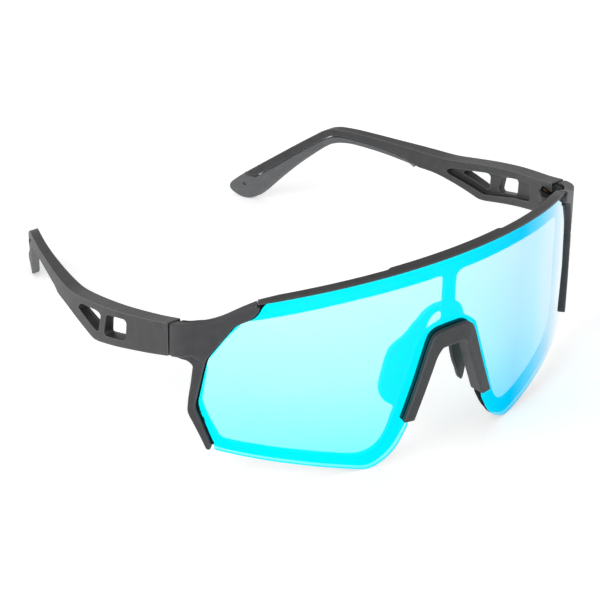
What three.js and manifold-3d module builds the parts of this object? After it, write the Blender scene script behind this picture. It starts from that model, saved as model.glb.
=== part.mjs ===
// Wrap-around shield sunglasses for mountain and trail use, in millimetres.
// +X is the wearer's left, -Y the way the lens faces, +Z up. The glasses stand on a table,
// on the two lowest points of the lens and on both temple tips.
//
// The front pieces are drawn flat and then wrapped onto the lens curve: s is the length along
// the curve from the middle, h the height, and o the distance outward from the lens's front face.

import * as THREE from 'three';
import { mergeVertices } from 'three/addons/utils/BufferGeometryUtils.js';
import Module from 'manifold-3d';

const wasm = await Module();
wasm.setup();

// ---- Driving dimensions ----

const LENS_RADIUS = 94;             // wrap radius of the lens's front face
const LENS_TILT = THREE.MathUtils.degToRad(2.3);   // the lens's foot sits back by this angle
const TILT_HEIGHT = 30;             // height of the line the lens is tilted about
const CORNER_START = 79.5;          // developed length at which the end piece turns backward
const CORNER_RADIUS = 10;           // radius of that turn
const SEAM = 87;                    // developed length at which the end piece stops

const LENS_THICKNESS = 1.4;
const GAP = 0.3;                    // clearance between neighbouring pieces
const RIM_FRONT = -LENS_THICKNESS - GAP;   // the rim's two faces, as distances outward
const RIM_BACK = RIM_FRONT - 1.8;
const SIDE_PROUD = 1.6;             // side clamps, above the lens's front face
const CLIP_PROUD = 2;
const CLIP_DEPTH = 3.2;             // how far the clip reaches behind the lens's front face
const BROW_PROUD = 0.9;
const BROW_BACK = RIM_FRONT - 0.5;  // rear face of the brow
const BUMP_BACK = BROW_BACK - 0.7;  // the same at the thicker middle of the brow
const BUMP_HALF_LENGTH = 21;
const BROW_HALF_LENGTH = 60.9;
const TOP_HALF_LENGTH = 58.9;       // straight run of the lens's and the rim's top edge, each way
const LIP_HEIGHT = 0.9;             // the brow's lip in front of the lens's top edge
const COVER_THICKNESS = 0.6;        // the brow above the lens's top edge
const BROW_OVERLAP = 1.5;           // how far the brow's rear wall reaches below the lip's foot
const RIM_DROP = 0.6;               // the rim's top below the lip's foot
const BAR_HALF_WIDTH = 2.1;         // the rim's upright between the eye openings

const TEMPLE_THICKNESS = 4.6;       // at the hinge; the rear half is thinner
const SEAM_Y = 38.2;                // where the temple meets the end piece
const TIP_Y = 170.2;                // the temple tip's rear end
const POCKET_FLOOR = 2.9;           // thickness left behind the temple's inner pocket
const GRIP_SHIFT = 0.2;             // the grip stands proud inside and lies back outside

const HINGE_X = 70.6;
const HINGE_Y = 41.2;
const KNUCKLE_RADIUS = 2.3;
const KNUCKLE_CLEARANCE = 0.35;
const LUG_LOW = [41.2, 43.2];       // heights of the end piece's two lugs
const LUG_HIGH = [46.55, 48.1];
const KNUCKLE = [43.55, 46.2];      // height of the temple's knuckle between them
const LUG_ROOT = 2;                 // how far the lugs reach into the end piece
const LUG_ROOT_X = 70.6;            // outer side of that root, clear of the side clamp
const PIN_RADIUS = 0.7;
const PIN_BORE = 0.8;
const PIN_HEAD_RADIUS = 1.3;
const PIN_HEAD_HEIGHT = 0.8;
const SLOT_WIDTH = 0.4;
const INSERT_RADIUS = 1.4;          // threaded bush in the upper lug
const INSERT_CLEARANCE = 0.1;

const CLAMP_SCREWS = [[75.5, 50], [77.5, 43.5]];   // (s, h) of the screws behind each side clamp
const SCREW_RADIUS = 0.6;
const SCREW_HEAD_RADIUS = 1.1;
const SCREW_HEAD_HEIGHT = 0.6;
const SCREW_CLEARANCE = 0.25;
const SCREW_TIP = 0.5;              // the screw's end, outward from the lens's front face

const WRAP_STEP = 9;                // facet length along the lens curve
const CORNER_STEP = 2.5;            // facet length round the end piece's turn
const TEMPLE_STEP = 6;              // facet length along the temple
const SADDLE_STEP = 4;              // facet length across the nose saddle

// ---- Materials ----

const plastic = () => new THREE.MeshStandardMaterial({ color: 0x3b3b3e, roughness: 0.55, metalness: 0 });
const rubber = () => new THREE.MeshStandardMaterial({ color: 0x5c6064, roughness: 0.8, metalness: 0 });
const lensMirror = () => new THREE.MeshStandardMaterial({ color: 0x12d8f0, roughness: 0.08, metalness: 0.6 });
const silicone = () => new THREE.MeshStandardMaterial({ color: 0x242426, roughness: 0.7, metalness: 0 });
const brass = () => new THREE.MeshStandardMaterial({ color: 0xb08d4a, roughness: 0.35, metalness: 1 });
const steel = () => new THREE.MeshStandardMaterial({ color: 0xa8abb0, roughness: 0.3, metalness: 1 });

// ---- Solids: joining, cutting, slicing and mapping ----

function toSolid(geometry) {
  const bare = geometry.index ? geometry.toNonIndexed() : geometry.clone();
  bare.deleteAttribute('normal');
  bare.deleteAttribute('uv');
  const merged = mergeVertices(bare, 1e-4);
  return new wasm.Manifold(new wasm.Mesh({
    numProp: 3,
    vertProperties: merged.attributes.position.array,
    triVerts: merged.index.array,
  }));
}

function toGeometry(solid) {
  const mesh = solid.getMesh();
  const geometry = new THREE.BufferGeometry();
  geometry.setAttribute('position', new THREE.BufferAttribute(mesh.vertProperties, 3));
  geometry.setIndex(new THREE.BufferAttribute(mesh.triVerts, 1));
  return geometry;
}

const join = (first, ...rest) => rest.reduce((sum, next) => sum.add(next), first);
const cut = (first, ...rest) => rest.reduce((left, next) => left.subtract(next), first);

// Clips a triangle to one side of the plane where x equals the station.
function clipTriangle(triangle, station, sign) {
  const kept = [];
  triangle.forEach((point, i) => {
    const next = triangle[(i + 1) % 3];
    const here = (point.x - station) * sign;
    const there = (next.x - station) * sign;
    if (here >= 0) kept.push(point);
    if (here * there < 0) {
      // Interpolating from the lower end keeps an edge shared by two triangles identical.
      const [low, high] = point.x < next.x ? [point, next] : [next, point];
      const crossing = low.clone().lerp(high, (station - low.x) / (high.x - low.x));
      crossing.x = station;
      kept.push(crossing);
    }
  });
  return kept.slice(2).map((point, i) => [kept[0], kept[i + 1], point]);
}

// Cuts every triangle at the stations along x, so that a mapped surface can bend there.
function sliceTriangles(solid, stations) {
  const flat = toGeometry(solid).toNonIndexed();
  const position = flat.attributes.position;
  let triangles = [];
  for (let i = 0; i < position.count; i += 3) {
    triangles.push([0, 1, 2].map((k) => new THREE.Vector3().fromBufferAttribute(position, i + k)));
  }
  for (const station of stations) {
    triangles = triangles.flatMap((triangle) => {
      const offsets = triangle.map((point) => point.x - station);
      if (Math.min(...offsets) >= 0 || Math.max(...offsets) <= 0) return [triangle];
      return [1, -1].flatMap((sign) => clipTriangle(triangle, station, sign));
    });
  }
  return triangles;
}

// Evenly spaced stations from the first up to the last.
const stationsBetween = (first, last, step) => Array.from(
  { length: Math.floor((last - first) / step) + 1 },
  (_, i) => first + i * step,
);

function fromTriangles(triangles, place) {
  const geometry = new THREE.BufferGeometry().setFromPoints(triangles.flat().map(place));
  const merged = mergeVertices(geometry, 1e-4);
  const index = Array.from(merged.index.array);
  const kept = [];
  for (let i = 0; i < index.length; i += 3) {
    const [a, b, c] = index.slice(i, i + 3);
    if (a !== b && b !== c && c !== a) kept.push(a, b, c);
  }
  merged.setIndex(kept);
  return merged;
}

// The other side's copy of a piece.
function mirrored(geometry) {
  const copy = geometry.index ? geometry.toNonIndexed() : geometry.clone();
  const position = copy.attributes.position;
  for (let i = 0; i < position.count; i += 3) {
    const corners = [0, 2, 1].map((k) => new THREE.Vector3().fromBufferAttribute(position, i + k));
    corners.forEach((corner, k) => position.setXYZ(i + k, -corner.x, corner.y, corner.z));
  }
  return mergeVertices(copy, 1e-5);
}

// ---- The lens curve ----

const cornerAngle = CORNER_START / LENS_RADIUS;
const cornerCentre = new THREE.Vector2(
  (LENS_RADIUS - CORNER_RADIUS) * Math.sin(cornerAngle),
  LENS_RADIUS - (LENS_RADIUS - CORNER_RADIUS) * Math.cos(cornerAngle),
);
const cornerEnd = CORNER_START + (Math.PI / 2 - cornerAngle) * CORNER_RADIUS;

// Plan position of the point at length s >= 0 and distance o outward from the lens's face.
function planPoint(s, o) {
  if (s <= CORNER_START) {
    const angle = s / LENS_RADIUS;
    const reach = LENS_RADIUS + o;
    return new THREE.Vector2(reach * Math.sin(angle), LENS_RADIUS - reach * Math.cos(angle));
  }
  const angle = Math.min(cornerAngle + (s - CORNER_START) / CORNER_RADIUS, Math.PI / 2);
  const straight = Math.max(s - cornerEnd, 0);
  const reach = CORNER_RADIUS + o;
  return new THREE.Vector2(
    cornerCentre.x + reach * Math.sin(angle),
    cornerCentre.y - reach * Math.cos(angle) + straight,
  );
}

// Developed (s, h, o) to the place in space, with the lens's tilt.
function wrapPoint(point) {
  const plan = planPoint(Math.abs(point.x), point.z);
  const rise = point.y - TILT_HEIGHT;
  return new THREE.Vector3(
    Math.sign(point.x) * plan.x,
    plan.y * Math.cos(LENS_TILT) - rise * Math.sin(LENS_TILT),
    TILT_HEIGHT + rise * Math.cos(LENS_TILT) + plan.y * Math.sin(LENS_TILT),
  );
}

const sideStations = [
  ...stationsBetween(WRAP_STEP, CORNER_START - WRAP_STEP / 2, WRAP_STEP),
  ...stationsBetween(CORNER_START, SEAM, CORNER_STEP),
];
const wrapStations = [0, ...sideStations, ...sideStations.map((station) => -station)];

const wrap = (solid) => fromTriangles(sliceTriangles(solid, wrapStations), wrapPoint);

// A flat plate from an outline, between two distances outward.
function plate(shape, back, front) {
  const geometry = new THREE.ExtrudeGeometry(shape, {
    depth: front - back,
    bevelEnabled: false,
    curveSegments: 5,
  });
  geometry.translate(0, 0, back);
  return toSolid(geometry);
}

const points = (pairs) => pairs.map(([x, y]) => new THREE.Vector2(x, y));
const polygon = (pairs) => new THREE.Shape(points(pairs));

// A smooth line through the given points, as a list of points.
const smooth = (pairs, divisions) => new THREE.SplineCurve(points(pairs)).getPoints(divisions)
  .map((point) => [point.x, point.y]);

// Turns the outline of one half, drawn from the middle line outward and back, into the whole.
function bothHalves(half) {
  const other = half.filter(([x]) => x > 0).reverse().map(([x, y]) => [-x, y]);
  return polygon([...half, ...other]);
}

// ---- Outlines of the front, in (s, h), wearer's left half ----

const LIP_FOOT = 68;                // height of the lip's lower edge in the middle
const BROW_DROP = 0.00188;          // how fast it falls off to the sides

// The brow's curve, raised by the given lift above the lip's lower edge.
const browCurve = (lift, reach = TOP_HALF_LENGTH) => [0, 1, 2, 3, 4, 5, 6].map((step) => reach * step / 6)
  .map((s) => [s, LIP_FOOT - BROW_DROP * s * s + lift]);

const lensTopEdge = browCurve(LIP_HEIGHT - COVER_THICKNESS - GAP);

// Outer edge of the lens, along the inner edge of the side clamp.
const lensSide = [
  [61.1, 56.2], [65.2, 54.2], [67.4, 52.8], [71, 47.5], [75.2, 41.2],
  [76, 37.8], [78.4, 24.2], [77, 20.4], [73.4, 11.4], [73.2, 9],
];
const lensFoot = [
  [47.6, 4.4], [32.9, 1.2], [29, 0.3], [26.8, 0], [24.4, 0.5], [20.6, 2.7], [18, 5.2], [16.2, 8],
];
const lensNotch = [[13.9, 12.6], [14, 15], [10.1, 26.3], [6.9, 35.6], [5.9, 38.2], [4.6, 39.4], [0, 39.4]];

function lensOutline() {
  return bothHalves([...lensTopEdge, ...lensSide, ...lensFoot, ...lensNotch]);
}

const eyeOpening = [
  [BAR_HALF_WIDTH, 60], [4.6, 61.2], [20, 60.6], [34, 59.3], [48, 57], [61.5, 54.3],
  [64.6, 52.8], [69, 47.8], [74.8, 39.6], [76.8, 28], [77, 24.2], [75.4, 19.4],
  [71.8, 12.6], [70.6, 11.8], [62.7, 10.6], [47.4, 8.2], [31, 4.9], [28.6, 4.8], [25.2, 5.6],
  [22, 8.4], [20.4, 11.4], [16.4, 23.4], [11.4, 39.4], [10.6, 41], [8, 43.2], [5.4, 44.4],
  [BAR_HALF_WIDTH, 45.2],
];

const rimTop = [...browCurve(-RIM_DROP), [62.2, 58.8]];
const endPieceTop = [[66, 57.2], [71.1, 54.3], [75, 52.6], [80.2, 51.5], [SEAM, 49.9]];
const endPieceFoot = [[SEAM, 39.2], [81.2, 39.8], [79.6, 38.6]];
const rimSide = [[80, 33.3], [80.8, 26.8], [81, 22.2], [80, 19.9], [77, 13.6], [74.6, 9.7]];
const rimFoot = [
  [72.8, 9.2], [47.6, 4.9], [32.9, 1.7], [29.2, 0.8], [27, 0.5], [24.8, 0.9], [21.2, 3],
  [18.6, 5.6], [16.8, 8.2],
];
const rimNotch = [[14.2, 13], [14.3, 15], [10.4, 26.4], [7.2, 35.8], [6.1, 38.5], [4.8, 39.8], [0, 39.8]];

// ---- Front pieces ----

function eyeHole(side) {
  const hole = points(eyeOpening.map(([s, h]) => [side * s, h]));
  return plate(new THREE.Shape(hole), RIM_BACK - 1, RIM_FRONT + 1);
}

// A strip along the brow between two lifts above the lip's lower edge.
function browStrip(low, high, back, front, reach = BROW_HALF_LENGTH) {
  return plate(bothHalves([...browCurve(high, reach), ...browCurve(low, reach).reverse()]), back, front);
}

// Lip in front of the lens's edge, cover above it, wall behind it and the thicker middle.
function brow() {
  return [
    browStrip(0, LIP_HEIGHT, GAP, BROW_PROUD),
    browStrip(LIP_HEIGHT - COVER_THICKNESS, LIP_HEIGHT, BROW_BACK, BROW_PROUD),
    browStrip(-BROW_OVERLAP, LIP_HEIGHT, BROW_BACK, RIM_FRONT),
    browStrip(-BROW_OVERLAP, LIP_HEIGHT, BUMP_BACK, RIM_FRONT, BUMP_HALF_LENGTH),
  ];
}

function upright(radius, low, high, x = HINGE_X, y = HINGE_Y, sides = 20) {
  const geometry = new THREE.CylinderGeometry(radius, radius, high - low, sides);
  geometry.rotateX(Math.PI / 2);
  geometry.translate(x, y, (low + high) / 2);
  return toSolid(geometry);
}

function block(low, high) {
  const size = high.map((value, i) => value - low[i]);
  const geometry = new THREE.BoxGeometry(...size);
  geometry.translate(...low.map((value, i) => value + size[i] / 2));
  return toSolid(geometry);
}

// The lugs that carry the hinge screw, rooted in the frame behind the side clamp.
function hingeLugs() {
  return [LUG_LOW, LUG_HIGH].map(([low, high]) => {
    const eye = upright(KNUCKLE_RADIUS, low, high);
    const root = block([HINGE_X - KNUCKLE_RADIUS, SEAM_Y - LUG_ROOT, low], [LUG_ROOT_X, HINGE_Y, high]);
    const arm = block(
      [HINGE_X - KNUCKLE_RADIUS, SEAM_Y + GAP, low],
      [HINGE_X + KNUCKLE_RADIUS, HINGE_Y, high],
    );
    const bore = low === LUG_HIGH[0] ? INSERT_RADIUS + INSERT_CLEARANCE : PIN_BORE;
    return cut(join(eye, root, arm), upright(bore, low - 1, high + 1));
  });
}

// A clamp screw, grown by the clearance when it is the room for one.
function clampScrew([s, h], clearance = 0) {
  const shoulder = RIM_BACK + SCREW_HEAD_HEIGHT + clearance;
  return join(
    upright(SCREW_HEAD_RADIUS + clearance, RIM_BACK - clearance, shoulder, s, h, 16),
    upright(SCREW_RADIUS + clearance, RIM_BACK, SCREW_TIP + clearance, s, h, 16),
  );
}

const screwRooms = () => CLAMP_SCREWS.map((place) => clampScrew(place, SCREW_CLEARANCE));

function frontFrame() {
  const outline = bothHalves([
    ...rimTop, ...endPieceTop, ...endPieceFoot, ...rimSide, ...rimFoot, ...rimNotch,
  ]);
  const rim = plate(outline, RIM_BACK, RIM_FRONT);
  const rooms = screwRooms();
  const otherRooms = rooms.map((room) => toSolid(mirrored(toGeometry(room))));
  const flat = cut(join(cut(rim, eyeHole(1), eyeHole(-1)), ...brow()), ...rooms, ...otherRooms);
  const lugs = hingeLugs();
  const otherLugs = lugs.map((lug) => toSolid(mirrored(toGeometry(lug))));
  return toGeometry(join(toSolid(wrap(flat)), ...lugs, ...otherLugs));
}

function lens() {
  return wrap(plate(lensOutline(), -LENS_THICKNESS, 0));
}

// Outer side clamp with the arm that runs down the lens's edge.
function sideClamp() {
  const outline = polygon([
    [61.2, 61.4], [66, 59], [71.1, 55.8], [75, 54], [80.2, 52.4], [SEAM, 50.2],
    [SEAM, 39.2], [81.2, 39.8], [79.6, 38.6],
    [80, 33.3], [80.8, 26.8], [81, 22.2], [80, 19.9], [77, 13.6], [75.4, 9.8], [74.4, 9.6], [73.8, 10.6],
    [73.9, 11.3], [77.5, 20.4], [78.9, 24.2], [76.4, 37.8], [75.6, 41.5], [71.3, 47.9],
    [67.9, 53.2], [65.8, 54.9], [62.2, 56.7], [60.5, 59.1],
    [60.3, 60.4], [61.2, 60.8],
  ]);
  return wrap(cut(plate(outline, -LENS_THICKNESS, SIDE_PROUD), ...screwRooms()));
}

// The clip astride the lens's nose notch: a plate in front and a wall through the notch.
function noseClip() {
  const inner = [[12.4, 15.3], [8.6, 26], [6, 33.6], [5.1, 36.6], [4, 38], [0, 38]];
  const wallOuter = [[0, 39.1], [4.3, 39.1], [5.5, 37.9], [6.5, 35.4], [9.7, 26], [13.4, 15.3]];
  const face = [[0, 44], [5, 43.7], [7.2, 42.4], [8.3, 39.9], [12.8, 24.9], [16.2, 16], [16, 15.3]];
  const wall = bothHalves([...wallOuter, ...inner]);
  const front = bothHalves([...face, ...inner]);
  return wrap(join(plate(wall, -CLIP_DEPTH, GAP * 2), plate(front, GAP, CLIP_PROUD)));
}

// ---- Nose saddle ----

const SADDLE_FRONT = 5.4;           // front face of the saddle's arch behind the lens's face
const SADDLE_THICKNESS = 1.8;
const STEM_HALF_WIDTH = 1.3;        // stem that joins the arch to the rim's upright
const STEM = [46.4, 48.2];          // height of that stem
const PAD_START = 8.5;              // beyond this the pads slant toward the face
const PAD_SLOPE = 0.5;
const PAD_REACH = 18.5;             // developed length just inside the pads' outer edges

function noseSaddle() {
  const outer = smooth([[0, 48.8], [3.4, 48.6], [6.7, 47], [9.2, 44.4], [11.9, 40], [15.3, 36.1],
    [16.7, 33.4], [17.9, 28], [19, 21.6], [18.8, 18.6], [17.3, 15.8], [15.2, 14.4]], 24);
  const inner = smooth([[13.6, 14.5], [11, 17.2], [8, 22.6], [6, 28.4], [5.2, 33.6], [5.5, 38.2], [5.4, 41.5],
    [4.2, 44.2], [2.2, 45.8], [0, 46.1]], 18);
  const arch = plate(bothHalves([...outer, ...inner]), -SADDLE_FRONT - SADDLE_THICKNESS, -SADDLE_FRONT);
  const stem = block(
    [-STEM_HALF_WIDTH, STEM[0], -SADDLE_FRONT - SADDLE_THICKNESS / 2],
    [STEM_HALF_WIDTH, STEM[1], RIM_BACK - GAP],
  );
  const flat = join(arch, stem);
  const slant = (point) => {
    const back = Math.max(Math.abs(point.x) - PAD_START, 0) * PAD_SLOPE;
    return wrapPoint(new THREE.Vector3(point.x, point.y, point.z - back));
  };
  const stations = stationsBetween(-PAD_REACH, PAD_REACH, SADDLE_STEP);
  return fromTriangles(sliceTriangles(flat, stations), slant);
}

// ---- Temples, wearer's left side, drawn in (y, z) ----

// A smooth function through knots [input, output], with slopes from the neighbours.
function curveThrough(knots) {
  const slopes = knots.map((_, i) => {
    const before = knots[Math.max(i - 1, 0)];
    const after = knots[Math.min(i + 1, knots.length - 1)];
    return (after[1] - before[1]) / (after[0] - before[0]);
  });
  return (value) => {
    const next = knots.findIndex(([input]) => input > value);
    const i = next === -1 ? knots.length - 2 : Math.max(next - 1, 0);
    const [start, end] = [knots[i], knots[i + 1]];
    const span = end[0] - start[0];
    const t = (value - start[0]) / span;
    return THREE.MathUtils.lerp(start[1], end[1], t * t * (3 - 2 * t))
      + span * t * (1 - t) * ((1 - t) * slopes[i] - t * slopes[i + 1]);
  };
}

// Outer face of the temple in plan: x for each y.
const templeOuter = curveThrough([[38, 74.5], [65, 76.8], [92, 74.2], [118, 67.5], [138.5, 60.4],
  [154, 51.3], [165.2, 44.4], [175.2, 40.6]]);

// Thickness along the temple, and how far the thinner rear half lies inside the outer curve.
const templeThickness = curveThrough([[38, TEMPLE_THICKNESS], [92, TEMPLE_THICKNESS], [118, 3.4], [137, 3.1],
  [173, 3.1]]);
const templeInset = curveThrough([[38, 0], [92, 0], [118, 0.3], [137, 0.6], [173, 0.6]]);

// Drawn (y, z, inward distance) to the place in space.
function bendTemple({ x: along, y: height, z: inward }) {
  const depth = templeInset(along) + inward * templeThickness(along) / TEMPLE_THICKNESS;
  return new THREE.Vector3(templeOuter(along) - depth, along, height);
}

// The drawing's axes (y, z, inward) are left-handed in space once x is reversed, so faces are turned.
function bent(solid) {
  const stations = stationsBetween(SEAM_Y + TEMPLE_STEP, TIP_Y, TEMPLE_STEP);
  const triangles = sliceTriangles(solid, stations);
  return fromTriangles(triangles.map(([a, b, c]) => [a, c, b]), bendTemple);
}

const templeTop = [[SEAM_Y + GAP, 51.6], [46, 49.3], [61, 45.5], [74, 42], [84, 39.2], [91.7, 37.2],
  [100, 36.3], [115.3, 34.9], [131.1, 33.7], [136.4, 33], [139.5, 31.8]];
const shellTip = [[147.8, 24.7], [157, 16.4], [163.8, 10.2], [163.2, 9.2], [161.2, 9.2]];
const shellUnder = [[157, 12.8], [150.4, 19], [144, 25], [139.5, 28.8], [136.4, 30.6], [132.2, 31.2],
  [118.4, 32], [107.2, 31.6], [103.4, 30]];
const templeFoot = [[96, 30.6], [86, 29.8], [76.6, 28.6], [73.6, 29.2], [66, 31.6], [55.7, 34.9],
  [46.4, 37.7], [SEAM_Y + GAP, 40.4]];

// Each window slants through the wall: its edge on the outer face, and on the pocket's floor.
const windowBack = {
  outside: [[87, 34.4], [84, 37.3], [73.8, 39.9], [71.2, 39.7], [73, 32.8], [74.6, 32.2]],
  inside: [[86, 34], [84.6, 35.2], [74.6, 38.2], [73.3, 37.8], [73.6, 33], [74.8, 32.5]],
};
const windowFront = {
  outside: [[68.2, 40.9], [67.2, 41.7], [58.4, 44.1], [57.3, 43.4], [57.9, 37.2], [58.8, 36.3],
    [69.2, 33.2], [70, 33.8]],
  inside: [[68.6, 38.9], [67.8, 39.6], [60.4, 42.2], [59.4, 41.6], [59.8, 37.4], [60.6, 36.6],
    [68.2, 34], [69, 34.6]],
};
const pocket = [[91.5, 33.4], [89, 35], [72, 39.9], [57.6, 43.9], [51.4, 45.4], [50.6, 44.8],
  [50.6, 39.7], [51.4, 39], [73.6, 31.4], [75, 31.2], [90.6, 32.4]];

// The slanting tool that cuts a window, a little longer than the wall at both ends.
function windowTool({ outside, inside }) {
  const depth = POCKET_FLOOR + 2 * GAP;
  const geometry = new THREE.ExtrudeGeometry(polygon(outside), { depth, bevelEnabled: false });
  const position = geometry.attributes.position;
  for (let i = 0; i < position.count; i += 1) {
    const here = new THREE.Vector2(position.getX(i), position.getY(i));
    const corner = points(outside).findIndex((point) => point.distanceTo(here) < 1e-3);
    if (position.getZ(i) > depth / 2) position.setXY(i, ...inside[corner]);
  }
  geometry.translate(0, 0, -GAP);
  return toSolid(geometry);
}

// Room around the lugs, open below so that the screw goes in from underneath.
function hingeRoom() {
  const reach = KNUCKLE_RADIUS + KNUCKLE_CLEARANCE;
  const top = LUG_HIGH[1] + KNUCKLE_CLEARANCE;
  const round = upright(reach, LUG_LOW[0] - 4, top);
  const square = block([HINGE_X - 4, SEAM_Y - 1, LUG_LOW[0] - 4], [HINGE_X + reach, HINGE_Y, top]);
  return join(round, square);
}

function templeKnuckle() {
  const eye = upright(KNUCKLE_RADIUS, ...KNUCKLE);
  const web = block([HINGE_X - 0.4, HINGE_Y, KNUCKLE[0]], [HINGE_X + 3, HINGE_Y + 4, KNUCKLE[1]]);
  return cut(join(eye, web), upright(PIN_BORE, KNUCKLE[0] - 1, KNUCKLE[1] + 1));
}

function temple() {
  const outline = polygon([...templeTop, ...shellTip, ...shellUnder, ...templeFoot]);
  const body = plate(outline, 0, TEMPLE_THICKNESS);
  const recess = plate(polygon(pocket), POCKET_FLOOR, TEMPLE_THICKNESS + 1);
  const shell = toSolid(bent(cut(body, windowTool(windowBack), windowTool(windowFront), recess)));
  return toGeometry(join(cut(shell, hingeRoom()), templeKnuckle()));
}

// Rubber grip: the lower strip of the rear half and the rounded tip.
function templeGrip() {
  const upper = [[104, 29.9], [107.4, 31.2], [118.4, 31.65], [132.2, 30.85], [136.2, 30.2], [139.2, 28.4],
    [143.7, 24.7], [150.1, 18.7], [156.8, 12.4], [161, 8.8], [163.6, 8.9], [164.4, 9.7]];
  const tip = [[167, 7.3], [169.6, 4.6], [TIP_Y, 3], [169.4, 1.6], [166.8, 0.4], [164, 0], [161.6, 0.8]];
  const under = [[159.3, 3.2], [154, 10.2], [147.8, 17.6], [141.3, 24.2], [138, 26.8], [134.7, 28.3],
    [130.5, 29.3], [118.4, 30]];
  return bent(plate(polygon([...upper, ...tip, ...under]), GRIP_SHIFT, TEMPLE_THICKNESS + GRIP_SHIFT));
}

// ---- Hinge screw and its bush ----

function hingeScrew() {
  const headLow = LUG_LOW[0] - GAP - PIN_HEAD_HEIGHT;
  const headHigh = headLow + PIN_HEAD_HEIGHT;
  const head = upright(PIN_HEAD_RADIUS, headLow, headHigh, HINGE_X, HINGE_Y, 16);
  const shank = upright(PIN_RADIUS, headHigh - PIN_HEAD_HEIGHT / 2, LUG_HIGH[1] - GAP, HINGE_X, HINGE_Y, 16);
  const slot = block(
    [HINGE_X - PIN_HEAD_RADIUS * 2, HINGE_Y - SLOT_WIDTH / 2, headLow - 1],
    [HINGE_X + PIN_HEAD_RADIUS * 2, HINGE_Y + SLOT_WIDTH / 2, headLow + PIN_HEAD_HEIGHT / 2],
  );
  return toGeometry(cut(join(head, shank), slot));
}

function hingeInsert() {
  const bore = upright(PIN_BORE, LUG_HIGH[0] - 1, LUG_HIGH[1] + 1);
  return toGeometry(cut(upright(INSERT_RADIUS, ...LUG_HIGH), bore));
}

// ---- Assembly ----

const glasses = new THREE.Group();

function addPiece(name, geometry, material) {
  const mesh = new THREE.Mesh(geometry, material);
  mesh.name = name;
  glasses.add(mesh);
}

// The wearer's left piece as built, and its mirror image on the right.
function addPair(name, geometry, material) {
  addPiece(`${name}_left`, geometry, material());
  addPiece(`${name}_right`, mirrored(geometry), material());
}

addPiece('front_frame', frontFrame(), plastic());
addPiece('lens', lens(), lensMirror());
addPiece('nose_clip', noseClip(), plastic());
addPiece('nose_saddle', noseSaddle(), silicone());
addPair('side_clamp', sideClamp(), plastic);
addPair('temple', temple(), plastic);
addPair('temple_grip', templeGrip(), rubber);
addPair('hinge_screw', hingeScrew(), steel);
addPair('hinge_insert', hingeInsert(), brass);
['upper', 'lower'].forEach((position, i) => {
  addPair(`clamp_screw_${position}`, wrap(clampScrew(CLAMP_SCREWS[i])), steel);
});

// The origin is the middle of the footprint, on the table.
const bounds = new THREE.Box3().setFromObject(glasses);
const centre = bounds.getCenter(new THREE.Vector3());
glasses.position.set(-centre.x, -centre.y, -bounds.min.z);

export default glasses;
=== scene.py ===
"""Wrap-around shield sunglasses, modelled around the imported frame.

Shapes are drawn in millimetres and placed in the row frame in metres. The front pieces are drawn flat and
wrapped onto the lens curve: s is the length along the curve from the middle, h the height and o the distance
outward from the lens's front face. The temples are drawn in (y, z) and bent along their plan curve.
"""

from math import cos, pi, radians, sin

import bmesh
import bpy
import numpy as np
from mathutils import Matrix, Vector


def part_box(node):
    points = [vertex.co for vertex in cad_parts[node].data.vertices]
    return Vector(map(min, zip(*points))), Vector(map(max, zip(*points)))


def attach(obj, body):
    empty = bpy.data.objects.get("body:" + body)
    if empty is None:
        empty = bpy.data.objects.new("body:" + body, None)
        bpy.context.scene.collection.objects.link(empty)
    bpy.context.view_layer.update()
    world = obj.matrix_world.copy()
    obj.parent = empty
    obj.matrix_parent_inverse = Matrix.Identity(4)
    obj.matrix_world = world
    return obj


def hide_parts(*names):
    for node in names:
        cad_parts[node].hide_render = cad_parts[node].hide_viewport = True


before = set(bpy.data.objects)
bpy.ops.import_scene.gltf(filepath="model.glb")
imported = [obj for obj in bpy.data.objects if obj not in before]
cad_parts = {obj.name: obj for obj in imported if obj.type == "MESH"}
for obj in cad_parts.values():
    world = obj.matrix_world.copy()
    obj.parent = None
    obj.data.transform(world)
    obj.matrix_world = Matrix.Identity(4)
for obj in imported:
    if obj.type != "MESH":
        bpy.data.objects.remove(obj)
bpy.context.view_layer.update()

# ---- Driving dimensions, in millimetres ----

MM = 0.001
LENS_RADIUS = 94.0
LENS_TILT = radians(2.3)
TILT_HEIGHT = 30.0
CORNER_START = 79.5
CORNER_RADIUS = 10.0
SEAM = 87.0

LENS_THICKNESS = 1.4
GAP = 0.3
RIM_FRONT = -LENS_THICKNESS - GAP
RIM_BACK = RIM_FRONT - 1.8
SIDE_PROUD = 1.6
CLIP_PROUD = 2.0
CLIP_DEPTH = 3.2
LIP_FOOT = 68.0
BROW_DROP = 0.00188
BROW_PROUD = 0.9
BROW_BACK = RIM_FRONT - 0.5
BUMP_DEPTH = 0.7
BROW_HALF_LENGTH = 60.9
TOP_HALF_LENGTH = 58.9
LIP_HEIGHT = 0.9
COVER_UNDERSIDE = 0.3
BROW_OVERLAP = 1.5
RIM_DROP = 0.6
BAR_HALF_WIDTH = 2.1

TEMPLE_THICKNESS = 4.6
SEAM_Y = 38.2
TIP_Y = 170.2
POCKET_FLOOR = 2.9
GRIP_SHIFT = 0.2
HINGE_X = 70.6
HINGE_Y = 41.2
KNUCKLE_RADIUS = 2.3
KNUCKLE_CLEARANCE = 0.35
PIN_BORE = 0.8
INSERT_BORE = 1.5
LUG_LOW = (41.2, 43.2)
LUG_HIGH = (46.55, 48.1)
KNUCKLE = (43.55, 46.2)

# The lens's top edge in the middle is the foremost and lowest-y point of the lens.
Y_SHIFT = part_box("lens")[0].y / MM + (LIP_FOOT - TILT_HEIGHT) * sin(LENS_TILT)

# ---- Placing: flat drawings to the row frame ----

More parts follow.
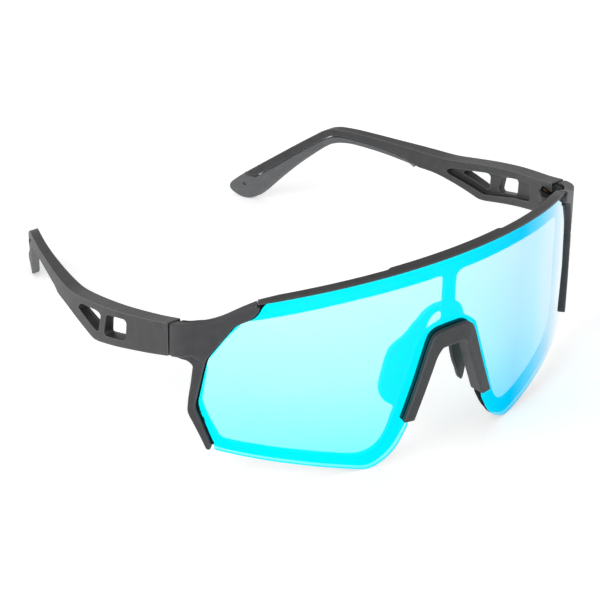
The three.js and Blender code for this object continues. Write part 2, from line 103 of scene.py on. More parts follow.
CORNER_ANGLE = CORNER_START / LENS_RADIUS
CORNER_X = (LENS_RADIUS - CORNER_RADIUS) * sin(CORNER_ANGLE)
CORNER_Y = LENS_RADIUS - (LENS_RADIUS - CORNER_RADIUS) * cos(CORNER_ANGLE)
CORNER_END = CORNER_START + (pi / 2 - CORNER_ANGLE) * CORNER_RADIUS


def wrap(flat):
    """(s, h, o) in millimetres to the row frame in metres."""
    s, h, o = np.abs(flat[:, 0]), flat[:, 1], flat[:, 2]
    on_lens = s <= CORNER_START
    beyond = np.clip(s - CORNER_START, 0, None)
    angle = np.where(on_lens, s / LENS_RADIUS, np.minimum(CORNER_ANGLE + beyond / CORNER_RADIUS, pi / 2))
    straight = np.clip(s - CORNER_END, 0, None)
    reach = np.where(on_lens, LENS_RADIUS, CORNER_RADIUS) + o
    x = np.where(on_lens, 0, CORNER_X) + reach * np.sin(angle)
    y = np.where(on_lens, LENS_RADIUS, CORNER_Y) - reach * np.cos(angle) + straight
    rise = h - TILT_HEIGHT
    return MM * np.stack([
        np.sign(flat[:, 0]) * x,
        y * cos(LENS_TILT) - rise * sin(LENS_TILT) + Y_SHIFT,
        TILT_HEIGHT + rise * cos(LENS_TILT) + y * sin(LENS_TILT),
    ], axis=1)


def curve_through(knots):
    """A smooth function through (input, output) knots, with slopes from the neighbours."""
    x, y = np.array(knots, float).T
    ahead = np.minimum(np.arange(len(x)) + 1, len(x) - 1)
    behind = np.maximum(np.arange(len(x)) - 1, 0)
    slope = (y[ahead] - y[behind]) / (x[ahead] - x[behind])

    def value(v):
        i = np.clip(np.searchsorted(x, v, side="right") - 1, 0, len(x) - 2)
        span = x[i + 1] - x[i]
        t = (v - x[i]) / span
        eased = t * t * (3 - 2 * t)
        return y[i] + (y[i + 1] - y[i]) * eased + span * t * (1 - t) * ((1 - t) * slope[i] - t * slope[i + 1])

    return value


# Along the temple, by y: the outer face's x, the thickness, and how far in the face lies.
temple_outer = curve_through([
    (38, 74.5), (65, 76.8), (92, 74.2), (118, 67.5), (138.5, 60.4), (154, 51.3), (165.2, 44.4), (175.2, 40.6),
])
temple_thickness = curve_through([
    (38, TEMPLE_THICKNESS), (92, TEMPLE_THICKNESS), (118, 3.4), (137, 3.1), (173, 3.1),
])
temple_inset = curve_through([(38, 0), (92, 0), (118, 0.3), (137, 0.6), (173, 0.6)])


def bend_temple(flat):
    """(y, z, inward) in millimetres to the row frame in metres, on the wearer's left."""
    along, height, inward = flat.T
    depth = temple_inset(along) + inward * temple_thickness(along) / TEMPLE_THICKNESS
    return MM * np.stack([temple_outer(along) - depth, along + Y_SHIFT, height], axis=1)


def upright_place(flat):
    """(x, y, z) in millimetres to the row frame in metres."""
    return MM * (flat + np.array([0, Y_SHIFT, 0]))


# ---- Drawing: outlines ----


def rounded(corners, steps=4, closed=True):
    """Rounds each corner (a, b) or (a, b, reach) with a curve that starts that far from it.

    Without a reach the curve runs from the middle of one edge to the middle of the next, which suits
    points that follow a gentle curve.
    """
    xy = np.array([c[:2] for c in corners], float)
    line = []
    for i, corner in enumerate(corners):
        if not closed and i in (0, len(corners) - 1):
            line.append(xy[i])
            continue
        to_last = xy[i - 1] - xy[i]
        to_next = xy[(i + 1) % len(xy)] - xy[i]
        wanted = corner[2] if len(corner) > 2 else 1e3
        reach = min(wanted, np.hypot(*to_last) * 0.49, np.hypot(*to_next) * 0.49)
        start = xy[i] + to_last / np.hypot(*to_last) * reach
        end = xy[i] + to_next / np.hypot(*to_next) * reach
        for t in np.linspace(0, 1, steps + 1):
            line.append(start * (1 - t) ** 2 + xy[i] * 2 * t * (1 - t) + end * t * t)
    return np.array(line)


def both_halves(half):
    """The whole outline from one half, drawn from the middle line outward and back."""
    other = [(-c[0], *c[1:]) for c in reversed(half) if c[0] > 0]
    return [*half, *other]


def other_side(outline):
    return [(-c[0], *c[1:]) for c in outline]


def brow_curve(lift):
    return [(s, LIP_FOOT - BROW_DROP * s * s + lift) for s in np.linspace(0, TOP_HALF_LENGTH, 7)]


LENS_TOP = brow_curve(0)
LENS_SIDE = [
    (61.1, 56.2), (65.2, 54.2), (67.4, 52.8), (71, 47.5), (75.2, 41.2), (76, 37.8), (78.4, 24.2, 1.5),
    (77, 20.4), (73.4, 11.4, 0.6), (73.2, 9, 0.6),
]
LENS_FOOT = [(47.6, 4.4), (32.9, 1.2), (29, 0.3), (26.8, 0), (24.4, 0.5), (20.6, 2.7), (18, 5.2), (16.2, 8)]
LENS_NOTCH = [
    (13.9, 12.6), (14, 15, 1), (10.1, 26.3), (6.9, 35.6, 1), (5.9, 38.2, 1), (4.6, 39.4, 1), (0, 39.4),
]

EYE_OPENING = [
    (BAR_HALF_WIDTH, 59.9, 1), (4.0, 61.3, 1), (20, 60.7), (34, 59.4), (48, 57.1), (61.5, 54.4),
    (65.1, 53.5, 2), (69.6, 48.3, 2), (75.5, 39.4, 2), (77, 28), (77.4, 24.8, 0.8), (75.6, 19.6),
    (71.8, 12.6, 1.2), (70.6, 11.8, 0.8), (62.7, 10.6), (47.4, 8.2), (31, 4.9), (28.6, 4.8, 1.2), (25.2, 5.6),
    (22, 8.4), (20.4, 11.4), (16.4, 23.4), (11.4, 39.4), (10.6, 41), (8, 43.2), (5.4, 44.4),
    (BAR_HALF_WIDTH, 45.2, 1),
]
END_PIECE_TOP = [(66, 57.2), (71.1, 54.3), (75, 52.6), (80.2, 51.5), (SEAM, 49.9, 0.5)]
END_PIECE_FOOT = [(SEAM, 39.2, 0.5), (81.2, 39.8, 0.8), (79.6, 38.6, 0.8)]
RIM_SIDE = [(80, 33.3), (80.8, 26.8), (81, 22.2), (80, 19.9), (77, 13.6), (74.6, 9.7, 0.5)]
RIM_FOOT = [(72.8, 9.2, 0.6), (47.6, 4.9), (32.9, 1.7), (29.2, 0.8), (27, 0.5), (24.8, 0.9), (21.2, 3),
            (18.6, 5.6), (16.8, 8.2)]
RIM_NOTCH = [
    (14.2, 13), (14.3, 15, 1), (10.4, 26.4), (7.2, 35.8, 1), (6.1, 38.5, 1), (4.8, 39.8, 1), (0, 39.8),
]
RIM_TOP = [*brow_curve(-RIM_DROP), (62.2, 58.8)]
RIM_OUTLINE = [*RIM_TOP, *END_PIECE_TOP, *END_PIECE_FOOT, *RIM_SIDE, *RIM_FOOT, *RIM_NOTCH]

CLAMP_OUTLINE = [
    (61.2, 61.5, 0.5), (66, 59), (71.1, 55.8), (75, 54), (80.2, 52.4), (SEAM, 50.2, 0.5),
    (SEAM, 39.2, 0.5), (81.2, 39.8, 0.8), (79.6, 38.6, 0.8),
    (80, 33.3), (80.8, 26.8), (81, 22.2), (80, 19.9), (77, 13.6), (75.4, 9.8, 0.5), (74.4, 9.6, 0.4),
    (73.8, 10.6, 0.5), (73.9, 11.3), (77.5, 20.4), (78.9, 24.2, 1.5), (76.4, 37.8), (75.6, 41.5),
    (71.3, 47.9), (67.9, 53.2), (65.8, 54.9), (62.2, 56.7), (60.5, 59.1), (60.3, 60.4, 0.4),
    (61.2, 60.8, 0.2),
]

# ---- Meshes ----


class Build:
    """A flat mesh, as vertices in millimetres and faces."""

    def __init__(self, vertices, faces):
        self.vertices = np.asarray(vertices, float)
        self.faces = faces


def to_bmesh(build):
    bm = bmesh.new()
    made = [bm.verts.new(v) for v in build.vertices]
    for face in build.faces:
        bm.faces.new([made[i] for i in face])
    bm.normal_update()
    return bm


def from_bmesh(bm):
    bm.verts.index_update()
    return Build([v.co[:] for v in bm.verts], [[v.index for v in f.verts] for f in bm.faces])


def plate(outline, back, front, bevel=0.3, holes=(), segments=3):
    """A plate from rounded outlines, with its edges bevelled."""
    curve = bpy.data.curves.new("drawing", "CURVE")
    curve.dimensions = "2D"
    curve.fill_mode = "BOTH"
    curve.extrude = (front - back) / 2 - bevel
    curve.bevel_depth = bevel
    curve.bevel_resolution = segments - 1
    curve.offset = -bevel
    for line in (outline, *holes):
        drawn = curve.splines.new("POLY")
        drawn.points.add(len(line) - 1)
        places = np.column_stack([line, np.zeros(len(line)), np.ones(len(line))])
        drawn.points.foreach_set("co", places.ravel())
        drawn.use_cyclic_u = True
    drawing = bpy.data.objects.new("drawing", curve)
    bpy.context.scene.collection.objects.link(drawing)
    depsgraph = bpy.context.evaluated_depsgraph_get()
    mesh = bpy.data.meshes.new_from_object(drawing.evaluated_get(depsgraph))
    bm = bmesh.new()
    bm.from_mesh(mesh)
    bmesh.ops.remove_doubles(bm, verts=bm.verts, dist=1e-4)
    bmesh.ops.recalc_face_normals(bm, faces=bm.faces)
    bmesh.ops.translate(bm, verts=bm.verts, vec=(0, 0, (front + back) / 2))
    build = from_bmesh(bm)
    bm.free()
    bpy.data.objects.remove(drawing)
    bpy.data.curves.remove(curve)
    bpy.data.meshes.remove(mesh)
    return build


def slice_at(build, stations, axis=0):
    """Cuts every face at the stations along an axis, so that the shape can bend there."""
    bm = to_bmesh(build)
    normal = [0, 0, 0]
    normal[axis] = 1
    for station in stations:
        place = [0, 0, 0]
        place[axis] = station
        everything = [*bm.verts, *bm.edges, *bm.faces]
        bmesh.ops.bisect_plane(bm, geom=everything, dist=1e-5, plane_co=place, plane_no=normal)
    build = from_bmesh(bm)
    bm.free()
    return build


def loft(rings, reaches, steps=3, cap=0.0):
    """A skin over sections of the same corners, each corner rounded by its reach, with rounded ends."""
    skins = []
    for ring in rings:
        line = []
        for k, corner in enumerate(ring):
            to_last = ring[k - 1] - corner
            to_next = ring[(k + 1) % len(ring)] - corner
            last_length, next_length = np.linalg.norm(to_last), np.linalg.norm(to_next)
            reach = min(reaches[k], last_length * 0.48, next_length * 0.48)
            start = corner + to_last / last_length * reach
            end = corner + to_next / next_length * reach
            for t in np.linspace(0, 1, steps + 1):
                line.append(start * (1 - t) ** 2 + corner * 2 * t * (1 - t) + end * t * t)
        skins.append(np.array(line))
    if cap:
        skins = [*round_end(skins[0], skins[1], cap)[::-1], *skins, *round_end(skins[-1], skins[-2], cap)]
    count = len(skins[0])
    faces = []
    for n in range(len(skins) - 1):
        for k in range(count):
            after = (k + 1) % count
            faces.append([n * count + k, n * count + after, (n + 1) * count + after, (n + 1) * count + k])
    faces.append(list(range(count))[::-1])
    faces.append([(len(skins) - 1) * count + k for k in range(count)])
    return Build(np.concatenate(skins), faces)


def round_end(last, before, cap):
    """Sections beyond the last one that close it with a rounded edge."""
    middle = last.mean(axis=0)
    outward = middle - before.mean(axis=0)
    outward /= np.linalg.norm(outward)
    inward = middle - last
    inward /= np.linalg.norm(inward, axis=1, keepdims=True)
    turns = np.linspace(0, pi / 2, 4)[1:]
    return [last + outward * cap * sin(a) + inward * cap * (1 - cos(a)) for a in turns]


def mirrored(build):
    flipped = build.vertices * np.array([-1, 1, 1])
    return Build(flipped, [face[::-1] for face in build.faces])


def joined(*builds):
    """Several closed shapes in one mesh."""
    vertices, faces, start = [], [], 0
    for build in builds:
        vertices.append(build.vertices)
        faces.extend([[i + start for i in face] for face in build.faces])
        start += len(build.vertices)
    return Build(np.concatenate(vertices), faces)


def temporary(build):
    mesh = bpy.data.meshes.new("tool")
    mesh.from_pydata(build.vertices.tolist(), [], build.faces)
    mesh.validate()
    obj = bpy.data.objects.new("tool", mesh)
    bpy.context.scene.collection.objects.link(obj)
    return obj


def evaluated(obj):
    """The object's mesh with its modifiers, as a Build, and the object gone."""
    depsgraph = bpy.context.evaluated_depsgraph_get()
    mesh = bpy.data.meshes.new_from_object(obj.evaluated_get(depsgraph))
    bm = bmesh.new()
    bm.from_mesh(mesh)
    build = from_bmesh(bm)
    bm.free()
    bpy.data.meshes.remove(mesh)
    bpy.data.objects.remove(obj)
    return build


def boolean(build, operation, *others):
    """build with the others cut out of it or joined to it."""
    obj = temporary(build)
    tools = [temporary(other) for other in others]
    for tool in tools:
        modifier = obj.modifiers.new("cut", "BOOLEAN")
        modifier.operation = operation
        modifier.solver = "EXACT"
        modifier.object = tool
    result = evaluated(obj)
    for tool in tools:
        bpy.data.objects.remove(tool)
    return result


def bevelled(build, width, angle=35, segments=3):
    obj = temporary(build)
    modifier = obj.modifiers.new("bevel", "BEVEL")
    modifier.width = width
    modifier.segments = segments
    modifier.limit_method = "ANGLE"
    modifier.angle_limit = radians(angle)
    modifier.use_clamp_overlap = True
    modifier.miter_outer = "MITER_ARC"
    return evaluated(obj)


SHARP_ANGLE = radians(42)


def piece(name, build, body, materials, node=None, choose=None):
    """A finished piece in the row frame, riding on its body and standing for its CAD node."""
    mesh = bpy.data.meshes.new(name)
    mesh.from_pydata(build.vertices.tolist(), [], build.faces)
    mesh.validate()
    bm = bmesh.new()
    bm.from_mesh(mesh)
    bmesh.ops.recalc_face_normals(bm, faces=bm.faces)
    bm.to_mesh(mesh)
    bm.free()
    for material in materials:
        mesh.materials.append(material)
    if choose:
        for polygon in mesh.polygons:
            polygon.material_index = choose[polygon.index]
    mesh.polygons.foreach_set("use_smooth", np.ones(len(mesh.polygons), bool))
    mesh.set_sharp_from_angle(angle=SHARP_ANGLE)
    obj = bpy.data.objects.new(name, mesh)
    bpy.context.scene.collection.objects.link(obj)
    shading = obj.modifiers.new("shading", "WEIGHTED_NORMAL")
    shading.keep_sharp = True
    if node:
        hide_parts(node)
    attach(obj, body)
    return obj


TIGHT_STATIONS = np.arange(CORNER_START, SEAM, 0.75)
LENS_STATIONS = np.concatenate([np.arange(-79, 80, 1.5), TIGHT_STATIONS, -TIGHT_STATIONS])


def wrapped(build, stations=LENS_STATIONS):
    fine = slice_at(build, stations)
    return Build(wrap(fine.vertices), fine.faces)


# ---- Materials ----


class Nodes:
    """A short way to add and link shader nodes."""

    def __init__(self, name):
        self.material = bpy.data.materials.new(name)
        self.material.use_nodes = True
        self.tree = self.material.node_tree
        self.tree.nodes.clear()
        self.output = self.tree.nodes.new("ShaderNodeOutputMaterial")

    def add(self, kind, settings=None, **inputs):
        node = self.tree.nodes.new("ShaderNode" + kind)
        for key, value in (settings or {}).items():
            setattr(node, key, value)
        for key, value in inputs.items():
            self.feed(node.inputs[key.replace("_", " ")], value)
        return node

    def feed(self, socket, value):
        if isinstance(value, bpy.types.NodeSocket):
            self.tree.links.new(value, socket)
        else:
            socket.default_value = value

    def noise(self, place, scale, detail=3.0, roughness=0.6):
        node = self.add("TexNoise", Vector=place, Scale=scale, Detail=detail, Roughness=roughness)
        return node.outputs["Fac"]

    def ramp(self, fac, stops):
        node = self.add("ValToRGB", Fac=fac)
        elements = node.color_ramp.elements
        while len(elements) < len(stops):
            elements.new(0.5)
        for element, (position, colour) in zip(elements, stops):
            element.position = position
            element.color = (*colour, 1) if len(colour) == 3 else colour
        return node.outputs["Color"]

    def spread(self, fac, low, high):
        """A factor spread from low to high."""
        return self.add("MapRange", Value=fac, To_Min=low, To_Max=high).outputs["Result"]

    def finish(self, shader):
        self.tree.links.new(shader.outputs[0], self.output.inputs["Surface"])
        return self.material


# The radius, in metres, within which an edge gets the painted highlight.
EDGE_HIGHLIGHT_RADIUS = 0.00045
# An edge shows where the softened normal leaves the face's own; these are the cosines between them.
FLAT_TURN = 0.998
EDGE_TURN = 0.93
MOTTLE_SCALE = 260.0
SCUFF_SCALE = 900.0


def moulded(name, dark, light, roughness, grain=5200.0, depth=0.00002, speckle=0.0, edge=0.09, gloss=0.5):
    """Moulded plastic or rubber: fine spark-eroded grain, faint mottling and scuffs, and a painted highlight
    that adds the edge colour on rounded edges.
    """
    nodes = Nodes(name)
    place = nodes.add("TexCoord").outputs["Object"]
    mottle = nodes.noise(place, MOTTLE_SCALE, 4)
    fine = nodes.noise(place, grain, 2, 0.7)
    scuff = nodes.noise(place, SCUFF_SCALE, 6, 0.75)
    tone = nodes.add("Mix", {"data_type": "FLOAT"}, Factor=speckle)
    nodes.feed(tone.inputs["A"], mottle)
    nodes.feed(tone.inputs["B"], fine)
    colour = nodes.ramp(tone.outputs["Result"], [(0.32, dark), (0.68, light)])
    rough = nodes.spread(scuff, roughness - 0.08, roughness + 0.08)
    height = nodes.add("Math", {"operation": "MULTIPLY_ADD"})
    nodes.feed(height.inputs[0], scuff)
    nodes.feed(height.inputs[1], 0.35)
    nodes.feed(height.inputs[2], fine)
    bump = nodes.add("Bump", Strength=0.55, Distance=depth, Height=height.outputs["Value"])
    softened = nodes.add("Bevel", {"samples": 4}, Radius=EDGE_HIGHLIGHT_RADIUS).outputs["Normal"]
    turned = nodes.add("VectorMath", {"operation": "DOT_PRODUCT"})
    nodes.feed(turned.inputs[0], softened)
    nodes.feed(turned.inputs[1], nodes.add("NewGeometry").outputs["Normal"])
    edge_highlight = nodes.add("MapRange", Value=turned.outputs["Value"], From_Min=FLAT_TURN, From_Max=EDGE_TURN)
    # Painted highlight: the edge colour is added where the edge is rounded, as light caught on it.
    highlighted = nodes.add("Mix", {"data_type": "RGBA", "blend_type": "ADD"})
    nodes.feed(highlighted.inputs["Factor"], edge_highlight.outputs["Result"])
    nodes.feed(highlighted.inputs["A"], colour)
    nodes.feed(highlighted.inputs["B"], (edge, edge, edge * 1.06, 1))
    shader = nodes.add("BsdfPrincipled", Base_Color=highlighted.outputs["Result"], Roughness=rough,
                       Normal=bump.outputs["Normal"])
    nodes.feed(shader.inputs["Specular IOR Level"], gloss)
    return nodes.finish(shader)


def metal(name, dark, light, roughness):
    """Machined metal, with fine turning marks round the upright axis and a little tarnish."""
    nodes = Nodes(name)
    place = nodes.add("TexCoord").outputs["Object"]
    stretched = nodes.add("Mapping", Vector=place, Scale=(1, 1, 14)).outputs["Vector"]
    marks = nodes.noise(stretched, 1800.0, 4)
    tarnish = nodes.noise(place, 700.0, 5)
    colour = nodes.ramp(tarnish, [(0.3, dark), (0.7, light)])
    rough = nodes.spread(marks, roughness - 0.08, roughness + 0.12)
    bump = nodes.add("Bump", Strength=0.3, Distance=0.00001, Height=marks)
    shader = nodes.add("BsdfPrincipled", Base_Color=colour, Roughness=rough, Metallic=1.0,
                       Normal=bump.outputs["Normal"])
    return nodes.finish(shader)


def see_through(nodes, tint):
    """Bends what is seen through it, and lets lamps through."""
    bending = nodes.add("BsdfRefraction", Color=tint, Roughness=0.0, IOR=1.5)
    clear = nodes.add("BsdfTransparent", Color=(0.93, 0.985, 1, 1))
    shadow = nodes.add("LightPath").outputs["Is Shadow Ray"]
    mix = nodes.add("MixShader", Fac=shadow)
    nodes.feed(mix.inputs[1], bending.outputs["BSDF"])
    nodes.feed(mix.inputs[2], clear.outputs["BSDF"])
    return mix.outputs["Shader"]


def lens_mirror():
    """The front of the lens: a cyan mirror coating, whose complement passes through."""
    nodes = Nodes("lens_mirror")
    facing = nodes.add("LayerWeight", Blend=0.5).outputs["Facing"]
    coat = nodes.ramp(facing, [
        (0.17, (0.0, 0.86, 0.94)), (0.353, (0.0, 0.80, 0.95)), (0.488, (0.0, 0.67, 0.95)),
        (0.565, (0.0, 0.58, 0.95)), (0.647, (0.127, 0.66, 0.96)), (0.733, (0.40, 0.75, 0.96)),
        (0.795, (0.66, 0.86, 0.97)), (0.87, (0.86, 0.95, 0.99)),
    ])
    place = nodes.add("TexCoord").outputs["Object"]
    height = nodes.add("SeparateXYZ", Vector=place).outputs["Z"]
    # Painted shade: what passes through the lens darkens towards its foot, standing in for the floor's shade
    # seen through the lens.
    painted_shade_by_height = nodes.add("MapRange", Value=height, From_Min=0.004, From_Max=0.06).outputs["Result"]
    tint = nodes.ramp(painted_shade_by_height, [
        (0.0, (0.24, 0.10, 0.05)), (0.5, (0.45, 0.13, 0.05)), (1.0, (0.56, 0.15, 0.05)),
    ])
    fade = nodes.ramp(facing, [
        (0.4, (1, 1, 1)), (0.56, (1, 1.6, 1.2)), (0.70, (0.7, 1.2, 1)), (0.85, (0.1, 0.2, 0.2)),
    ])
    faded = nodes.add("Mix", {"data_type": "RGBA", "blend_type": "MULTIPLY"})
    nodes.feed(faded.inputs["Factor"], 1.0)
    nodes.feed(faded.inputs["A"], tint)
    nodes.feed(faded.inputs["B"], fade)
    faint = nodes.noise(place, 140.0, 3)
    rough = nodes.spread(faint, 0.02, 0.05)
    mirror = nodes.add("BsdfGlossy", Color=coat, Roughness=rough)
    both = nodes.add("AddShader")
    nodes.feed(both.inputs[0], mirror.outputs["BSDF"])
    nodes.feed(both.inputs[1], see_through(nodes, faded.outputs["Result"]))
    return nodes.finish(both)


def lens_clear():
    """The lens's inner face and cut edge, uncoated."""
    nodes = Nodes("lens_clear")
    place = nodes.add("TexCoord").outputs["Object"]
    tint = nodes.ramp(nodes.noise(place, 90.0, 2), [(0.3, (0.96, 0.98, 0.98)), (0.7, (1, 1, 1))])
    shine = nodes.add("BsdfGlossy", Color=(0.02, 0.022, 0.024, 1), Roughness=0.05)
    shell = nodes.add("AddShader")
    nodes.feed(shell.inputs[0], see_through(nodes, tint))
    nodes.feed(shell.inputs[1], shine.outputs["BSDF"])
    return nodes.finish(shell)


# Painted shade: the rim and hinge lugs get a near-black, dull copy of the frame plastic, standing in for the
# shade behind the lens.
SHADED_FRAME_PLASTIC = moulded("frame_plastic_painted_shade", (0.003, 0.003, 0.003), (0.006, 0.006, 0.007), 0.6, edge=0.004,
                        gloss=0.12)
BROW_PLASTIC = moulded("brow_plastic", (0.018, 0.017, 0.017), (0.028, 0.027, 0.027), 0.48)
CLAMP_PLASTIC = moulded("clamp_plastic", (0.026, 0.026, 0.029), (0.038, 0.038, 0.042), 0.5)
CLIP_PLASTIC = moulded("clip_plastic", (0.026, 0.027, 0.029), (0.038, 0.039, 0.042), 0.46)
TEMPLE_PLASTIC = moulded("temple_plastic", (0.026, 0.026, 0.027), (0.040, 0.040, 0.042), 0.48)
GRIP_RUBBER = moulded("grip_rubber", (0.075, 0.078, 0.082), (0.150, 0.155, 0.162), 0.72, grain=3600.0,
                      depth=0.00005, speckle=0.75)
SADDLE_SILICONE = moulded("saddle_silicone", (0.012, 0.012, 0.013), (0.020, 0.020, 0.022), 0.55, grain=4200.0)
STEEL = metal("screw_steel", (0.42, 0.42, 0.43), (0.62, 0.62, 0.64), 0.28)
BRASS = metal("insert_brass", (0.42, 0.29, 0.11), (0.60, 0.45, 0.20), 0.3)
LENS_MIRROR = lens_mirror()
LENS_CLEAR = lens_clear()

# ---- Front pieces ----

# The clamp's crease, as (s, height); below it the face steps back and comes out again. It fades in along s.
CREASE_LINE = [(75.4, 41.6), (76.9, 40.9), (80.1, 42.2), (87.7, 38.6)]
CREASE_START = 76.5
CREASE_EASE = 2.0
CREASE_DEPTH = 0.7
CREASE_STEP = 0.5
CREASE_FADE = 7.0


def crease_height(s):
    return np.interp(s, *np.transpose(CREASE_LINE))


LUG_ROOT_Y = SEAM_Y - 2


def lugs():
    """The end piece's hinge lugs on both sides, round the screw."""
    turn = np.linspace(0, pi, 17)
    eye = [(HINGE_X + KNUCKLE_RADIUS * cos(a), HINGE_Y + KNUCKLE_RADIUS * sin(a)) for a in turn]
    low_x, high_x = HINGE_X - KNUCKLE_RADIUS, HINGE_X + KNUCKLE_RADIUS
    outline = np.array([*eye, (low_x, LUG_ROOT_Y), (HINGE_X, LUG_ROOT_Y), (HINGE_X, SEAM_Y + GAP),
                        (high_x, SEAM_Y + GAP)])
    around = np.linspace(0, 2 * pi, 25)[:-1]
    made = []
    for (low, high), bore in ((LUG_LOW, PIN_BORE), (LUG_HIGH, INSERT_BORE)):
        hole = np.array([(HINGE_X + bore * cos(a), HINGE_Y + bore * sin(a)) for a in around])
        lug = plate(outline, low, high, bevel=0.15, holes=[hole], segments=2)
        lug = Build(upright_place(lug.vertices), lug.faces)
        made += [lug, mirrored(lug)]
    return joined(*made)


def rim():
    outline = rounded(both_halves(RIM_OUTLINE))
    eyes = [rounded(EYE_OPENING), rounded(other_side(EYE_OPENING))]
    return wrapped(plate(outline, RIM_BACK, RIM_FRONT, bevel=0.35, holes=eyes))


# The brow lip gets lower towards the clamps' tips. Its back steps out to a bump in the middle.
END_DROP = 0.45
END_DROP_LENGTH = 6.0
BACK_DROP = 0.15
BUMP_HALF_LENGTH = 22.0
BUMP_STEP = 1.6
BUMP_FLAT = 19.2


def brow():
    """The lip over the lens's top edge, with the thicker middle behind."""
    rings = []
    step = np.linspace(BUMP_HALF_LENGTH - 2, BUMP_HALF_LENGTH, 7)
    side = np.concatenate([step, np.linspace(BUMP_HALF_LENGTH + 0.5, BROW_HALF_LENGTH, 32)])
    for s in np.concatenate([-side[::-1], np.linspace(-BUMP_FLAT, BUMP_FLAT, 33), side]):
        ease = np.clip((BUMP_HALF_LENGTH - abs(s)) / BUMP_STEP, 0, 1)
        back = BROW_BACK - BUMP_DEPTH * ease * ease * (3 - 2 * ease)
        lip = LIP_HEIGHT - END_DROP * np.clip((abs(s) - BROW_HALF_LENGTH) / END_DROP_LENGTH + 1, 0, 1)
        section = [(BROW_PROUD, 0), (BROW_PROUD, lip), (back, lip - BACK_DROP), (back, -BROW_OVERLAP),
                   (RIM_FRONT, -BROW_OVERLAP), (RIM_FRONT, COVER_UNDERSIDE), (GAP, COVER_UNDERSIDE), (GAP, 0)]
        middle = LIP_FOOT - BROW_DROP * s * s
        rings.append(np.array([(s, middle + lift, o) for o, lift in section]))
    skin = loft(rings, [0.14, 0.28, 0.4, 0.2, 0.05, 0.05, 0.05, 0.05], cap=0.2)
    return Build(wrap(skin.vertices), skin.faces)


def lens():
    outline = rounded(both_halves([*LENS_TOP, *LENS_SIDE, *LENS_FOOT, *LENS_NOTCH]), steps=6)
    flat = slice_at(plate(outline, -LENS_THICKNESS, 0, bevel=0.12, segments=2), LENS_STATIONS)
    middles = [np.mean([flat.vertices[i][2] for i in face]) for face in flat.faces]
    slots = [0 if middle > -LENS_THICKNESS / 4 else 1 for middle in middles]
    return Build(wrap(flat.vertices), flat.faces), slots


def side_clamp():
    """The wearer's left clamp: a plate with a crease, below which its face steps back and comes out again."""
    flat = plate(rounded(CLAMP_OUTLINE), -LENS_THICKNESS, SIDE_PROUD, bevel=0.38)
    flat = slice_at(flat, np.concatenate([np.arange(60, 79, 1.2), np.arange(79.2, SEAM, 0.7)]))
    flat.vertices[:, 1] -= crease_height(flat.vertices[:, 0])
    flat = slice_at(flat, [-CREASE_FADE, -5, -3.5, -2, -CREASE_STEP, -CREASE_STEP / 2, 0], axis=1)
    s, below, o = flat.vertices.T
    stepped = np.interp(-below, [0, CREASE_STEP, CREASE_FADE], [0, 1, 0])
    across = np.clip((s - CREASE_START) / CREASE_EASE, 0, 1) * np.clip(o / SIDE_PROUD, 0, 1)
    flat.vertices[:, 2] = o - CREASE_DEPTH * stepped * across
    flat.vertices[:, 1] += crease_height(s)
    return Build(wrap(flat.vertices), flat.faces)


# The clip's inner edge is blunt on the legs and stands proud along the bridge.
EDGE_SETBACK = 0.5
BRIDGE_RISE = 0.6
CREST_RISE = 0.3
CREST_PLACE = 0.12
FACE_SLOPE = 0.2
BRIDGE_FOOT = 34.0
BRIDGE_EASE = 3.0


def nose_clip():
    """A flange in front of the lens's notch and a wall through it, swept from leg to leg."""
    inner = [(12.4, 15.3), (8.6, 26), (6, 33.6, 0.8), (5.1, 36.6, 0.8), (4, 38, 0.7), (0, 38)]
    wall = [(13.4, 15.3), (9.7, 26), (6.5, 35.4, 2), (5.5, 37.9, 1), (4.3, 39.1, 1), (0, 39.1)]
    face = [(16.1, 15.3), (12.8, 24.9), (8.3, 39.9, 2), (7.2, 42.4, 1), (5, 43.7, 1), (0, 44)]
    rails = []
    for half in (inner, wall, face):
        whole = [*half, *[(-c[0], *c[1:]) for c in half[-2::-1]]]
        line = rounded(whole, steps=6, closed=False)
        rails.append(resampled(line, whole))
    inner, wall, face = rails
    rings = []
    for i, w, f in zip(inner, wall, face):
        bridge = np.clip((i[1] - BRIDGE_FOOT) / BRIDGE_EASE, 0, 1)
        edge = (*i, CLIP_PROUD - EDGE_SETBACK + BRIDGE_RISE * bridge)
        crest = (*(i + (f - i) * CREST_PLACE), CLIP_PROUD + CREST_RISE * bridge)
        rings.append(np.array([
            (*i, -CLIP_DEPTH), edge, crest, (*f, CLIP_PROUD - FACE_SLOPE), (*f, GAP), (*w, GAP),
            (*w, -CLIP_DEPTH),
        ]))
    skin = loft(rings, [0.3, 0.3, 0.3, 0.4, 0.1, 0.1, 0.3], cap=0.3)
    return Build(wrap(skin.vertices), skin.faces)


def resampled(line, corners, between=7):
    """The line again, with a fixed number of points between the places nearest its corners."""
    length = np.concatenate([[0], np.cumsum(np.hypot(*np.diff(line, axis=0).T))])
    marks = [length[np.argmin(np.hypot(*(line - np.array(c[:2])).T))] for c in corners]
    wanted = np.concatenate([np.linspace(a, b, between, endpoint=False) for a, b in zip(marks, marks[1:])])
    wanted = np.append(wanted, marks[-1])
    return np.column_stack([np.interp(wanted, length, line[:, k]) for k in (0, 1)])


SADDLE_FRONT = 5.4
SADDLE_THICKNESS = 1.8
STEM_HALF_WIDTH = 1.3
STEM = (46.4, 48.2)
PAD_START = 8.5
PAD_SLOPE = 0.5


def spline(points, count):
    """A Catmull-Rom curve through the points."""
    p = np.array(points, float)
    padded = np.vstack([2 * p[0] - p[1], p, 2 * p[-1] - p[-2]])
    out = []
    for u in np.linspace(0, len(p) - 1, count):
        i = min(int(u), len(p) - 2)
        t = u - i
        a, b, c, d = padded[i:i + 4]
        bend = 2 * a - 5 * b + 4 * c - d
        twist = 3 * b - a - 3 * c + d
        out.append(0.5 * (2 * b + (c - a) * t + bend * t * t + twist * t ** 3))
    return np.array(out)


